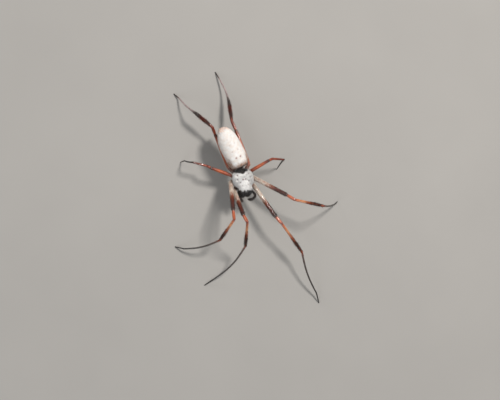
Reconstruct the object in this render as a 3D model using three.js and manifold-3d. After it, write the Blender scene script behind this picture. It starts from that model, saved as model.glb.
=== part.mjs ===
import * as THREE from 'three';
import { mergeVertices } from 'three/addons/utils/BufferGeometryUtils.js';
import Module from 'manifold-3d';

// A golden silk orb weaver, an adult female at life size, in millimetres.
// +Z is up, the head points to -Y and the animal's own left is +X.
// It stands in its resting pose, face down on the tips of its eight legs.

const wasm = await Module();
wasm.setup();

// Spaces between neighbouring pieces
const gap = 0.3;
const eyeGap = 0.14;

// Edges shorter than this are closed after a cut
const shortestEdge = 0.01;

// Places and turns of the two body parts, the origin between them at the waist
const headTurn = -6;
const abdomenTurn = 9;

// Front part of the body: length, widest half, height of its rim and of its back
const prosomaRear = 0.35;
const prosomaLength = 10.6;
const prosomaHalfWidth = 4.3;
const rimHeight = 10.9;
const backHeight = 14.2;
const coreHalf = 0.5;
const coreFloor = 8.9;
const jawStart = 0.78;
const jawLift = 8;

// Abdomen: a long barrel with a blunt front
const abdomenStart = 1.25;
const abdomenLength = 18.6;
const abdomenHalfWidth = 4.6;
const abdomenShift = 0.35;
const abdomenHalfHeight = 4.15;
const abdomenHeight = 12.3;
const widestAt = 0.42;

// Eyes
const eyeRadius = 0.3;
const smallEyeRadius = 0.26;

// Legs, front to back: five lengths from femur to tarsus
const legLengths = [
  [16.0, 4.0, 15.2, 19.9, 5.0],
  [15.8, 4.0, 12.4, 16.5, 4.1],
  [9.1, 2.3, 6.3, 7.3, 2.8],
  [15.4, 4.0, 9.0, 11.5, 3.2],
];

// Radii of the legs at their joints
const legRadii = { hip: 0.92, femur: 0.74, knee: 0.66, ankle: 0.42, tarsus: 0.31, tip: 0.2 };
const legStoutness = [1, 1, 0.84, 0.94];
const thighSwelling = 0.06;
const tipHeight = 0.12;

// Where each leg leaves the breast plate and where its femur starts, left side
const coxaRoots = [[2.25, -6.3, 9.5], [2.35, -4.75, 9.4], [2.3, -3.1, 9.25], [1.9, -0.9, 9.0]];
const hips = [[4.4, -7.2, 9.6], [5.0, -3.9, 9.5], [4.5, -1.0, 9.3], [4.35, 2.0, 8.7]];

// Turn and slope in degrees of femur, patella, tibia and metatarsus, then the turn of the tarsus.
// A turn of 0 points to +X, 90 to +Y. The tarsus comes down to the floor by itself.
const legPoses = {
  left: [
    [[-67.5, 7], [-60, 4], [-63.5, -10], [-77, -20], [-80]],
    [[-40, 10], [-43.5, 12], [-25.5, 21], [0.5, -57.5], [24]],
    [[20, 27.5], [11, -26], [-12, -28], [-117, -73], [-121]],
    [[98.5, -3], [101.5, -8], [83.5, -15.5], [97, -19], [105]],
  ],
  right: [
    [[-93, 43.5], [-80, 33], [-91.5, -51.5], [-142.5, -27.5], [-157]],
    [[-106.5, 38], [-95, -1], [-130, -42], [-178, -32], [153]],
    [[150.5, 9.5], [134.5, -42], [155, 1.5], [140, -70], [-169]],
    [[99, -8], [107.5, 31], [129.5, -1], [117.5, -39], [125]],
  ],
};

// Outward bow of each metatarsus, across its length
const footBows = { left: [0.9, 0.5, 0.15, 0.5], right: [1.3, 1.0, 0.2, 0.4] };

// Brushes of stiff hair on the shins: start and end along the shin, rows, locks a row, reach
const brushes = [
  { from: 0.34, to: 0.98, rows: 4, around: 5, reach: 1.2, core: 0.7 },
  { from: 0.3, to: 0.98, rows: 4, around: 5, reach: 1.2, core: 0.7 },
  null,
  { from: 0.12, to: 0.8, rows: 4, around: 5, reach: 1.4, core: 0.78 },
];
const lockLength = 2.8;
const lockWidth = 0.95;
const lockThickness = 0.5;
const lockTip = 0.16;

const colours = {
  carapace: [0xe4dfd8, 0.75],
  black: [0x17120f, 0.35],
  eye: [0x050505, 0.08],
  sternum: [0x5a3a22, 0.6],
  abdomen: [0xe9e3da, 0.8],
  waist: [0x2a1a14, 0.6],
  spinnerets: [0x6b3a24, 0.6],
  coxa: [0x7a3a22, 0.5],
  femur: [0xb0552f, 0.4],
  patella: [0xb4502a, 0.35],
  tibia: [0x7d3a22, 0.5],
  foot: [0x4a342c, 0.5],
};

const at = (x, y, z) => new THREE.Vector3(x, y, z);
const radians = THREE.MathUtils.degToRad;
const mix = THREE.MathUtils.lerp;

// Steady pseudo-random numbers from 0 to 1
let seed = 7;
function chance() {
  seed = (seed * 16807) % 2147483647;
  return seed / 2147483647;
}

// A unit vector from a turn and a slope in degrees
function heading(turn, slope) {
  const flat = Math.cos(radians(slope));
  return at(flat * Math.cos(radians(turn)), flat * Math.sin(radians(turn)), Math.sin(radians(slope)));
}

// A value between the rows of a table of [place, value, ...], along a smooth curve
function readTable(table, place, column) {
  let i = 1;
  while (i < table.length - 2 && table[i + 1][0] < place) {
    i += 1;
  }
  if (place < table[1][0]) {
    i = 0;
  }
  const value = (k) => table[THREE.MathUtils.clamp(k, 0, table.length - 1)][column];
  const s = THREE.MathUtils.clamp((place - table[i][0]) / (table[i + 1][0] - table[i][0]), 0, 1);
  const slopeIn = (value(i + 1) - value(i - 1)) / 2;
  const slopeOut = (value(i + 2) - value(i)) / 2;
  const rise = value(i + 1) - value(i);
  const square = 3 * rise - 2 * slopeIn - slopeOut;
  const cube = slopeIn + slopeOut - 2 * rise;
  return value(i) + s * (slopeIn + s * (square + s * cube));
}

// A closed skin over rings of points. A ring of one point makes a tip.
function skin(rings) {
  const points = [];
  const faces = [];
  const starts = rings.map((ring) => points.push(...ring) - ring.length);
  for (let i = 1; i < rings.length; i += 1) {
    const [a, b] = [starts[i - 1], starts[i]];
    const count = Math.max(rings[i - 1].length, rings[i].length);
    for (let k = 0; k < count; k += 1) {
      const next = (k + 1) % count;
      if (rings[i - 1].length === 1) {
        faces.push(a, b + k, b + next);
      } else if (rings[i].length === 1) {
        faces.push(a + k, b, a + next);
      } else {
        faces.push(a + k, b + k, a + next, a + next, b + k, b + next);
      }
    }
  }
  for (const [ring, start, turned] of [[rings[0], starts[0], false], [rings.at(-1), starts.at(-1), true]]) {
    if (ring.length > 1) {
      const centre = ring.reduce((sum, p) => sum.add(p), at(0, 0, 0)).divideScalar(ring.length);
      const middle = points.push(centre) - 1;
      for (let k = 0; k < ring.length; k += 1) {
        const pair = [start + k, start + ((k + 1) % ring.length)];
        faces.push(middle, ...(turned ? pair.reverse() : pair));
      }
    }
  }
  return facingOut(points, faces);
}

// A geometry whose triangles face outward, whichever way its rings ran
function facingOut(points, faces) {
  let volume = 0;
  for (let i = 0; i < faces.length; i += 3) {
    volume += points[faces[i]].dot(points[faces[i + 1]].clone().cross(points[faces[i + 2]]));
  }
  if (volume < 0) {
    for (let i = 0; i < faces.length; i += 3) {
      [faces[i + 1], faces[i + 2]] = [faces[i + 2], faces[i + 1]];
    }
  }
  const numbers = points.flatMap((p) => p.toArray());
  const geometry = new THREE.BufferGeometry();
  geometry.setAttribute('position', new THREE.Float32BufferAttribute(numbers, 3));
  geometry.setIndex(faces);
  return geometry;
}

// The two directions across a run, from one that it doesn't follow
const steepest = 0.8;
function across(along, whole = along) {
  const reference = Math.abs(whole.z) > steepest ? at(1, 0, 0) : at(0, 0, 1);
  const side = along.clone().cross(reference).normalize();
  return { side, up: side.clone().cross(along) };
}

// One ring of a tube. Its points slide along the tube into the plane through the centre.
function tubeRing(centre, along, plane, radius, sides, whole) {
  const { side, up } = across(along, whole);
  return Array.from({ length: sides }, (_, k) => {
    const angle = (2 * Math.PI * (k + 0.5)) / sides;
    const point = side.clone().multiplyScalar(radius * Math.cos(angle));
    point.addScaledVector(up, radius * Math.sin(angle));
    point.addScaledVector(along, -point.dot(plane) / along.dot(plane));
    return point.add(centre);
  });
}

// A tube through centre points. Each end lies half a gap back from its joint, in the joint's plane.
function tube(centres, radii, sides, startPlane, endPlane) {
  const last = centres.length - 1;
  const whole = centres[last].clone().sub(centres[0]).normalize();
  const rings = centres.map((centre, i) => {
    const along = centres[Math.min(i + 1, last)].clone().sub(centres[Math.max(i - 1, 0)]).normalize();
    if (i === 0 && startPlane) {
      const start = centre.clone().addScaledVector(startPlane, gap / 2);
      return tubeRing(start, along, startPlane, radii[i], sides, whole);
    }
    if (i === last && endPlane) {
      const end = centre.clone().addScaledVector(endPlane, -gap / 2);
      return tubeRing(end, along, endPlane, radii[i], sides, whole);
    }
    return tubeRing(centre, along, along, radii[i], sides, whole);
  });
  return skin(rings);
}

// Joining and cutting
function solid(geometry) {
  const bare = geometry.clone();
  bare.deleteAttribute('normal');
  bare.deleteAttribute('uv');
  const merged = mergeVertices(bare, 1e-4);
  return new wasm.Manifold(new wasm.Mesh({
    numProp: 3,
    vertProperties: merged.attributes.position.array,
    triVerts: Uint32Array.from(merged.index.array),
  }));
}

// The largest closed surface of a solid, as a geometry
function largest(body) {
  const pieces = body.decompose().sort((a, b) => b.volume() - a.volume());
  const mesh = pieces[0].getMesh();
  const geometry = new THREE.BufferGeometry();
  geometry.setAttribute('position', new THREE.Float32BufferAttribute(Array.from(mesh.vertProperties), 3));
  geometry.setIndex(Array.from(mesh.triVerts));
  return geometry;
}

function joined(base, extras) {
  return largest(extras.reduce((body, extra) => body.add(solid(extra)), solid(base)));
}

function cutBy(base, tools) {
  const cut = tools.reduce((body, tool) => body.subtract(solid(tool)), solid(base));
  return largest(cut.asOriginal().simplify(shortestEdge));
}

// The same shape with its surface moved outward
function grown(geometry, amount) {
  const bare = geometry.clone();
  bare.deleteAttribute('normal');
  bare.deleteAttribute('uv');
  const merged = mergeVertices(bare, 1e-4);
  merged.computeVertexNormals();
  const [position, normal] = [merged.attributes.position, merged.attributes.normal];
  for (let i = 0; i < position.count; i += 1) {
    position.setXYZ(
      i,
      position.getX(i) + amount * normal.getX(i),
      position.getY(i) + amount * normal.getY(i),
      position.getZ(i) + amount * normal.getZ(i),
    );
  }
  return merged;
}

function ball(centre, radius, sides) {
  const geometry = new THREE.SphereGeometry(radius, sides, Math.round(sides * 0.75));
  return geometry.translate(centre.x, centre.y, centre.z);
}

function addPiece(group, name, geometry, kind) {
  const [colour, roughness] = colours[kind];
  const material = new THREE.MeshStandardMaterial({ color: colour, roughness, metalness: 0 });
  const mesh = new THREE.Mesh(geometry, material);
  mesh.name = name;
  group.add(mesh);
}

// The point where a ray from inside leaves a surface
function surfacePoint(geometry, from, direction) {
  const target = new THREE.Mesh(geometry, new THREE.MeshStandardMaterial({ side: THREE.DoubleSide }));
  return new THREE.Raycaster(from, direction).intersectObject(target).at(-1).point;
}

// Front part of the body: shares of its length with half width and height of the back, as shares
const prosomaTable = [
  [0, 0.3, 0.1], [0.06, 0.56, 0.42], [0.16, 0.85, 0.76], [0.3, 1, 0.96], [0.42, 1, 1],
  [0.58, 0.9, 0.94], [0.7, 0.73, 1.02], [0.82, 0.68, 1.12], [0.91, 0.66, 1.06],
  [0.97, 0.6, 0.8], [1, 0.46, 0.42],
];

// A section: a dome over the rim, then the narrow sides above the hips
function prosomaSection(share) {
  const y = prosomaRear - share * prosomaLength;
  const half = prosomaHalfWidth * readTable(prosomaTable, share, 1);
  const lift = Math.max(share - jawStart, 0) * jawLift;
  const rise = (backHeight - rimHeight) * readTable(prosomaTable, share, 2);
  const dome = 9;
  const ring = [];
  for (let k = 0; k < dome; k += 1) {
    const angle = (Math.PI * k) / (dome - 1);
    ring.push(at(half * Math.cos(angle), y, rimHeight + rise * Math.sin(angle) ** 0.85));
  }
  const floor = Math.min(coreFloor + lift + (share < 0.1 ? (0.1 - share) * 9 : 0), rimHeight - 0.7);
  const under = [[-0.86, mix(rimHeight, floor, 0.25)], [-coreHalf, floor + 0.25], [0, floor]];
  under.forEach(([x, z]) => ring.push(at(half * x, y, z)));
  ring.push(at(half * coreHalf, y, floor + 0.25), at(half * 0.86, y, mix(rimHeight, floor, 0.25)));
  return ring;
}

function carapaceShape() {
  const last = 13;
  const places = Array.from({ length: last + 1 }, (_, i) => (Math.PI / 2) * (i / last));
  return skin(places.map((place) => prosomaSection(Math.sin(place) ** 1.15)));
}

// Eyes: two square pairs in front and a pair on a low knob at each side
const eyePlaces = {
  front_median: { direction: [0.2, -1, 0.42], radius: eyeRadius },
  rear_median: { direction: [0.2, -0.62, 0.78], radius: eyeRadius },
  front_side: { direction: [0.92, -1, 0.25], radius: smallEyeRadius },
  rear_side: { direction: [1, -0.66, 0.5], radius: smallEyeRadius },
};
const eyeCentre = at(0, -8.2, 11.6);

function eyeSpot(head, place, side) {
  const [x, y, z] = place.direction;
  const direction = at(side * x, y, z).normalize();
  const spot = surfacePoint(head, eyeCentre, direction);
  return spot.addScaledVector(direction, -0.3 * place.radius);
}

// One of the two low horns on the middle of the back
const hornPlace = [0.52, -4.0];
const hornRadius = 0.34;

function hornShape(back, side) {
  const top = surfacePoint(back, at(side * hornPlace[0], hornPlace[1], rimHeight), at(0, 0, 1));
  const levels = [[-0.4, 1.3], [0, 1], [0.22, 0.7], [0.36, 0.3]];
  const centres = levels.map(([z]) => top.clone().add(at(0, 0, z)));
  return tube(centres, levels.map(([, size]) => size * hornRadius), 6);
}

const legGroup = new THREE.Group();
legGroup.rotation.z = radians(headTurn);
const abdomenGroup = new THREE.Group();
abdomenGroup.rotation.z = radians(abdomenTurn);
abdomenGroup.position.x = abdomenShift;
const sides = { left: 1, right: -1 };

// Head and back, with a knob under each side pair of eyes and a pit round each eye
const plainHead = carapaceShape();
const knobs = Object.values(sides).map((side) => {
  const between = eyeSpot(plainHead, { direction: [0.97, -0.84, 0.37], radius: 1 }, side);
  return ball(between, 0.72, 8);
});
const horns = Object.values(sides).map((side) => hornShape(plainHead, side));
const knobbedHead = joined(plainHead, [...knobs, ...horns]);
const eyes = [];
for (const [sideName, side] of Object.entries(sides)) {
  for (const [name, place] of Object.entries(eyePlaces)) {
    const spot = eyeSpot(knobbedHead, place, side);
    eyes.push({ name: `eye_${name}_${sideName}`, spot, radius: place.radius });
  }
}
const head = cutBy(knobbedHead, eyes.map((eye) => ball(eye.spot, eye.radius + eyeGap, 8)));
addPiece(legGroup, 'cephalothorax', head, 'carapace');
eyes.forEach((eye) => addPiece(legGroup, eye.name, ball(eye.spot, eye.radius, 8), 'eye'));
const roomForHead = grown(plainHead, gap);

// Breast plate, a flat shield between the hips with a short lip in front
function sternumShape() {
  const outline = new THREE.Shape();
  outline.moveTo(-0.8, -7.9);
  outline.lineTo(0.8, -7.9);
  outline.quadraticCurveTo(1.0, -7.2, 1.35, -6.8);
  outline.quadraticCurveTo(1.75, -5.2, 1.3, -3.6);
  outline.lineTo(0, -1.9);
  outline.lineTo(-1.3, -3.6);
  outline.quadraticCurveTo(-1.75, -5.2, -1.35, -6.8);
  outline.quadraticCurveTo(-1.0, -7.2, -0.8, -7.9);
  const plate = new THREE.ExtrudeGeometry(outline, { depth: 0.7, bevelEnabled: false, curveSegments: 4 });
  return plate.translate(0, 0, coreFloor - gap - 0.7);
}
addPiece(legGroup, 'sternum', sternumShape(), 'sternum');

// Jaws with their fangs folded in
function cheliceraShape(side) {
  const path = [
    [1.12, -8.6, 11.4], [1.16, -9.7, 10.5], [1.18, -10.25, 9.5],
    [1.16, -10.35, 8.3], [1.06, -10.2, 7.4],
  ];
  const centres = path.map(([x, y, z]) => at(side * x, y, z));
  return tube(centres, [0.8, 0.98, 1.0, 0.88, 0.6], 10);
}

function fangShape(side) {
  const path = [[1.06, -10.15, 7.25 - gap], [0.95, -10.0, 6.75], [0.7, -9.6, 6.55], [0.42, -9.05, 6.5]];
  const centres = path.map(([x, y, z]) => at(side * x, y, z));
  return tube(centres, [0.38, 0.34, 0.26, 0.12], 6);
}

// Feelers, curled in front of the jaws
const palpPaths = {
  left: [
    [2.35, -8.5, 9.4], [3.4, -9.8, 10.3], [3.9, -11.0, 10.7],
    [3.65, -12.0, 10.3], [2.4, -12.75, 9.5], [1.0, -12.4, 8.8],
  ],
  right: [
    [-2.4, -8.5, 9.4], [-3.0, -9.7, 10.4], [-2.8, -11.0, 10.9],
    [-2.2, -12.2, 10.3], [-1.6, -12.9, 9.1],
  ],
};
const palpRadii = { root: 0.52, end: 0.5, tip: 0.24 };

function palpShape(path) {
  const curve = new THREE.CatmullRomCurve3(path.map((p) => at(...p)));
  const steps = 10;
  const radii = Array.from({ length: steps }, (_, i) => mix(palpRadii.root, palpRadii.end, i / steps));
  return cutBy(tube(curve.getSpacedPoints(steps), [...radii, palpRadii.tip], 8), [roomForHead]);
}

for (const [sideName, side] of Object.entries(sides)) {
  addPiece(legGroup, `chelicera_${sideName}`, cutBy(cheliceraShape(side), [roomForHead]), 'black');
  addPiece(legGroup, `fang_${sideName}`, fangShape(side), 'black');
  addPiece(legGroup, `palp_${sideName}`, palpShape(palpPaths[sideName]), 'black');
}

// Abdomen: a section is an ellipse whose size follows a blunt front and a rounder rear
function abdomenSize(share) {
  if (share < widestAt) {
    return (1 - ((widestAt - share) / widestAt) ** 5) ** 0.25;
  }
  return (1 - ((share - widestAt) / (1 - widestAt)) ** 2.6) ** 0.5;
}

function abdomenRing(share, sides) {
  const size = abdomenSize(share);
  return Array.from({ length: sides }, (_, k) => {
    const angle = (2 * Math.PI * k) / sides;
    const x = abdomenHalfWidth * size * Math.cos(angle);
    const z = abdomenHeight + abdomenHalfHeight * size * Math.sin(angle);
    return at(x, abdomenStart + abdomenLength * share, z);
  });
}

function abdomenShape() {
  const front = at(0, abdomenStart, abdomenHeight);
  const rear = at(0, abdomenStart + abdomenLength, abdomenHeight);
  const stations = [0.01, 0.04, 0.09, 0.17, 0.28, 0.4, 0.52, 0.64, 0.75, 0.84, 0.91, 0.96, 0.99];
  return skin([[front], ...stations.map((share) => abdomenRing(share, 20)), [rear]]);
}

// Small dimples in two rows along the back
const dimpleRows = [[5.8, 1.0], [8.6, 1.35], [11.6, 1.2]];
const dimpleRadius = 0.5;
const dimpleDepth = 0.16;

function dimples(body) {
  return dimpleRows.flatMap(([y, x]) => Object.values(sides).map((side) => {
    const top = surfacePoint(body, at(side * x, y, abdomenHeight), at(0, 0, 1));
    return ball(top.setZ(top.z + dimpleRadius - dimpleDepth), dimpleRadius, 6);
  }));
}

const plainAbdomen = abdomenShape();
addPiece(abdomenGroup, 'abdomen', cutBy(plainAbdomen, dimples(plainAbdomen)), 'abdomen');

// Spinnerets: six short cones on a low mound under the rear
function spinneretShape() {
  const mound = at(0, 17.2, 9.1);
  const cones = [[0.75, 0.55, 0.42], [0.6, 1.25, 0.34], [0.3, 0.9, 0.3]].flatMap(([x, y, radius]) => (
    Object.values(sides).map((side) => {
      const root = mound.clone().add(at(side * x * 0.7, y * 0.6, -0.2));
      const tip = root.clone().add(at(side * x * 0.25, 0.75, -1.55));
      return tube([root, root.clone().lerp(tip, 0.6), tip], [radius, radius * 0.9, radius * 0.55], 6);
    })
  ));
  return cutBy(joined(ball(mound, 1.3, 10), cones), [grown(plainAbdomen, gap)]);
}
addPiece(abdomenGroup, 'spinnerets', spinneretShape(), 'spinnerets');

// Waist: a short stalk from the front part of the body to the abdomen
function waistShape() {
  const stalk = tube([at(0, -0.8, 10.5), at(0, 0.9, 10.5), at(0, 2.6, 10.7)], [0.7, 0.6, 0.7], 8);
  const roomForAbdomen = grown(plainAbdomen, gap).rotateZ(radians(abdomenTurn));
  roomForAbdomen.translate(abdomenShift, 0, 0).rotateZ(radians(-headTurn));
  return cutBy(stalk, [roomForHead, roomForAbdomen]);
}
addPiece(legGroup, 'pedicel', waistShape(), 'waist');

// One flat, tapered lock from inside the shin out to the brush's reach
function lock(root, along, out, length, reach) {
  const side = along.clone().cross(out).normalize();
  const steps = [[0, 0.25, 0.8, 1], [0.3, 0.74, 1, 0.8], [0.66, 0.94, 0.72, 0.55]];
  const rings = steps.map(([share, rise, widthShare, thickShare]) => {
    const centre = root.clone().addScaledVector(along, share * length).addScaledVector(out, rise * reach);
    const half = side.clone().multiplyScalar((lockWidth * widthShare) / 2);
    const thick = out.clone().multiplyScalar((lockThickness * thickShare) / 2);
    return [
      centre.clone().add(half),
      centre.clone().add(thick),
      centre.clone().sub(half),
      centre.clone().sub(thick),
    ];
  });
  const tip = root.clone().addScaledVector(along, length).addScaledVector(out, reach);
  return skin([...rings, [tip.addScaledVector(side, (chance() - 0.5) * lockTip)]]);
}

// The locks of one shin, in staggered rows
function locksAlong(start, end, brush) {
  const along = end.clone().sub(start);
  const length = along.length();
  along.normalize();
  const { side, up } = across(along);
  const locks = [];
  for (let row = 0; row < brush.rows; row += 1) {
    const share = row / (brush.rows - 1);
    const place = mix(brush.from * length, brush.to * length - lockLength, share);
    const reach = brush.reach * mix(0.8, 1, Math.sin(Math.PI * share));
    for (let k = 0; k < brush.around; k += 1) {
      const angle = (2 * Math.PI * (k + (row % 2) / 2 + 0.3 * (chance() - 0.5))) / brush.around;
      const out = side.clone().multiplyScalar(Math.cos(angle)).addScaledVector(up, Math.sin(angle));
      const root = start.clone().addScaledVector(along, place + 0.4 * (chance() - 0.5));
      const size = mix(0.92, 1.08, chance());
      locks.push(lock(root, along, out, lockLength * size, reach * mix(0.92, 1, chance())));
    }
  }
  return locks;
}

// The shin, with a thicker middle where it carries a brush
function tibiaShape(start, end, planes, stoutness, brush) {
  const shares = [0, 0.12, 0.3, 0.45, 0.6, 0.75, 0.9, 1];
  const radii = shares.map((share) => {
    const plain = stoutness * mix(legRadii.knee * 0.9, legRadii.ankle, share);
    if (!brush || share <= brush.from || share >= brush.to) {
      return plain;
    }
    return Math.max(plain, brush.core);
  });
  const shin = tube(shares.map((share) => start.clone().lerp(end, share)), radii, 8, ...planes);
  return brush ? joined(shin, locksAlong(start, end, brush)) : shin;
}

// The foot: a bowed metatarsus, then a thin tarsus with a small flat on the floor
function footShape(ankle, knuckle, tip, plane, bow, stoutness) {
  const { side } = across(knuckle.clone().sub(ankle).normalize());
  const shares = [0, 0.08, 0.25, 0.45, 0.65, 0.85, 1];
  const centres = shares.map((share) => (
    ankle.clone().lerp(knuckle, share).addScaledVector(side, bow * Math.sin(Math.PI * share))
  ));
  const radii = shares.map((share) => stoutness * mix(legRadii.ankle, legRadii.tarsus, share));
  [0.35, 0.7, 1].forEach((share) => {
    centres.push(knuckle.clone().lerp(tip, share));
    radii.push(stoutness * mix(legRadii.tarsus, legRadii.tip, share));
  });
  const geometry = tube(centres, radii, 8, plane);
  const position = geometry.attributes.position;
  for (let i = 0; i < position.count; i += 1) {
    position.setZ(i, Math.max(position.getZ(i), 0));
  }
  return geometry;
}

// The plane of a joint halves the bend between two runs
function jointPlane(before, joint, after) {
  return joint.clone().sub(before).normalize().add(after.clone().sub(joint).normalize()).normalize();
}

// One leg, from the breast plate to the tip
function addLeg(sideName, pair) {
  const side = sides[sideName];
  const [coxaRoot, hip] = [coxaRoots[pair], hips[pair]].map(([x, y, z]) => at(side * x, y, z));
  const pose = legPoses[sideName][pair];
  const joints = [coxaRoot, hip];
  for (let i = 0; i < 4; i += 1) {
    joints.push(joints.at(-1).clone().addScaledVector(heading(...pose[i]), legLengths[pair][i]));
  }
  const tarsus = legLengths[pair][4];
  const slope = THREE.MathUtils.radToDeg(Math.asin((tipHeight - joints.at(-1).z) / tarsus));
  joints.push(joints.at(-1).clone().addScaledVector(heading(pose[4][0], slope), tarsus));
  const planes = joints.map((joint, i) => (
    i > 0 && i < joints.length - 1 ? jointPlane(joints[i - 1], joint, joints[i + 1]) : null
  ));
  const stout = legStoutness[pair];
  const name = (piece) => `leg${pair + 1}_${sideName}_${piece}`;

  const coxaCentres = [0, 0.35, 0.68, 0.8, 1].map((share) => coxaRoot.clone().lerp(hip, share));
  const coxaRadii = [0.64, 0.84, 0.9, 0.8, 0.86].map((radius) => radius * Math.sqrt(stout));
  const thigh = [0, 0.07, 0.18, 0.4, 0.65, 0.85, 0.95, 1];
  const thighRadii = thigh.map((share) => {
    const swelling = share > 0 && share < 0.3 ? thighSwelling : 0;
    return stout * (mix(legRadii.hip, legRadii.femur, share) + swelling);
  });
  const thighCentres = thigh.map((share) => hip.clone().lerp(joints[2], share));
  const femur = tube(thighCentres, thighRadii, 8, planes[1], planes[2]);
  const coxa = tube(coxaCentres, coxaRadii, 10, null, planes[1]);
  addPiece(legGroup, name('coxa'), cutBy(coxa, [roomForHead, grown(femur, gap)]), 'coxa');
  addPiece(legGroup, name('femur'), femur, 'femur');

  const knee = [0, 0.3, 0.7, 1];
  const kneeRadii = [0.98, 1.06, 1.02, 0.92].map((share) => share * stout * legRadii.knee);
  const kneeCentres = knee.map((share) => joints[2].clone().lerp(joints[3], share));
  const patella = tube(kneeCentres, kneeRadii, 8, planes[2], planes[3]);
  addPiece(legGroup, name('patella'), patella, 'patella');

  const shin = tibiaShape(joints[3], joints[4], [planes[3], planes[4]], stout, brushes[pair]);
  addPiece(legGroup, name('tibia'), shin, 'tibia');
  const bow = footBows[sideName][pair] * side;
  const foot = footShape(joints[4], joints[5], joints[6], planes[4], bow, stout);
  addPiece(legGroup, name('foot'), foot, 'foot');
}

for (const sideName of Object.keys(sides)) {
  for (let pair = 0; pair < 4; pair += 1) {
    addLeg(sideName, pair);
  }
}

// The whole animal, moved so that the middle of its footprint is the origin
const spider = new THREE.Group();
spider.add(legGroup, abdomenGroup);
const box = new THREE.Box3().setFromObject(spider);
spider.position.set(-(box.min.x + box.max.x) / 2, -(box.min.y + box.max.y) / 2, -box.min.z);

export default spider;
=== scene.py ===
import math

import bpy
import numpy as np
from mathutils import Matrix, Vector


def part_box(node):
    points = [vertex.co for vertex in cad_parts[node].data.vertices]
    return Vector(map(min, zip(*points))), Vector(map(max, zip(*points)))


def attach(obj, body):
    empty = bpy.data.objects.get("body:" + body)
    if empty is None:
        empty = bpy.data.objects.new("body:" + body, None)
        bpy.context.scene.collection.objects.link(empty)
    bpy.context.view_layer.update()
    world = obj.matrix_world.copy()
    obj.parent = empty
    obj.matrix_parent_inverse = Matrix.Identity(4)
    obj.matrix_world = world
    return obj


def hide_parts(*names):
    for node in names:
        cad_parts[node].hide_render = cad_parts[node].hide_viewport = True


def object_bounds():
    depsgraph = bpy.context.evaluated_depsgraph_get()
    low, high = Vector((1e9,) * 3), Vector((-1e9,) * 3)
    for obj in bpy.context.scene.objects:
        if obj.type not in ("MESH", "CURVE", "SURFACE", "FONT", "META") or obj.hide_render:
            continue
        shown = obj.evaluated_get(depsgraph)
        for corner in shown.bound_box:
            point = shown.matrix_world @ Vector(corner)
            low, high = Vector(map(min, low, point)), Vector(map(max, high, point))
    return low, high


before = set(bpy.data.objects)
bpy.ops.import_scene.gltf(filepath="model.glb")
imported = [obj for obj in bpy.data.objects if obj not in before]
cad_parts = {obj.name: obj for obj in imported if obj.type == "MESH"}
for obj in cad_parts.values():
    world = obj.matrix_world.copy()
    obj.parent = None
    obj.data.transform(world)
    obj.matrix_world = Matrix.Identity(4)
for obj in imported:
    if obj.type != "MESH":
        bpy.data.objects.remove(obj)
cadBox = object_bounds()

mm = 0.001
sides = {"left": 1, "right": -1}

# The animal's own sizes, in millimetres, about the middle of its waist
body = {
    "headTurn": -6.0,
    "abdomenTurn": 9.0,
    "rear": 0.35,
    "length": 10.6,
    "halfWidth": 4.3,
    "rimHeight": 10.9,
    "backHeight": 14.2,
    "coreFloor": 8.9,
    "jawStart": 0.78,
    "jawLift": 8.0,
    "coatDepth": 0.1,
    "rings": 96,
    "domePoints": 57,
    "underPoints": 27,
}
abdomen = {
    "start": 1.25,
    "length": 18.6,
    "halfWidth": 4.6,
    "shift": 0.35,
    "halfHeight": 4.15,
    "height": 12.3,
    "widestAt": 0.42,
    "coatDepth": 0.1,
    "grid": (130, 88),
}
legs = {
    "lengths": [
        [16.0, 4.0, 15.2, 19.9, 5.0],
        [15.8, 4.0, 12.4, 16.5, 4.1],
        [9.1, 2.3, 6.3, 7.3, 2.8],
        [15.4, 4.0, 9.0, 11.5, 3.2],
    ],
    "roots": [[2.25, -6.3, 9.5], [2.35, -4.75, 9.4], [2.3, -3.1, 9.25], [1.9, -0.9, 9.0]],
    "hips": [[4.4, -7.2, 9.6], [5.0, -3.9, 9.5], [4.5, -1.0, 9.3], [4.35, 2.0, 8.7]],
    "left": [
        [[-67.5, 7], [-60, 4], [-63.5, -10], [-77, -20], [-80]],
        [[-40, 10], [-43.5, 12], [-25.5, 21], [0.5, -57.5], [24]],
        [[20, 27.5], [11, -26], [-12, -28], [-117, -73], [-121]],
        [[98.5, -3], [101.5, -8], [83.5, -15.5], [97, -19], [105]],
    ],
    "right": [
        [[-93, 43.5], [-80, 33], [-91.5, -51.5], [-142.5, -27.5], [-157]],
        [[-106.5, 38], [-95, -1], [-130, -42], [-178, -32], [153]],
        [[150.5, 9.5], [134.5, -42], [155, 1.5], [140, -70], [-169]],
        [[99, -8], [107.5, 31], [129.5, -1], [117.5, -39], [125]],
    ],
    "bows": {"left": [0.9, 0.5, 0.15, 0.5], "right": [1.3, 1.0, 0.2, 0.4]},
    "stoutness": [1, 1, 0.84, 0.94],
    "tipHeight": 0.12,
    "around": 16,
    "ringStep": 0.26,
}


def turned(points, degrees):
    angle = math.radians(degrees)
    cosine, sine = math.cos(angle), math.sin(angle)
    spin = np.array([[cosine, -sine, 0], [sine, cosine, 0], [0, 0, 1]])
    return np.asarray(points, float) @ spin.T


def heading(turn, slope):
    turn, slope = math.radians(turn), math.radians(slope)
    return np.array([math.cos(slope) * math.cos(turn), math.cos(slope) * math.sin(turn), math.sin(slope)])


def unit(vectors):
    vectors = np.asarray(vectors, float)
    return vectors / np.maximum(np.linalg.norm(vectors, axis=-1, keepdims=True), 1e-12)


def smooth(low, high, value):
    share = np.clip((np.asarray(value, float) - low) / (high - low), 0, 1)
    return share * share * (3 - 2 * share)


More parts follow.
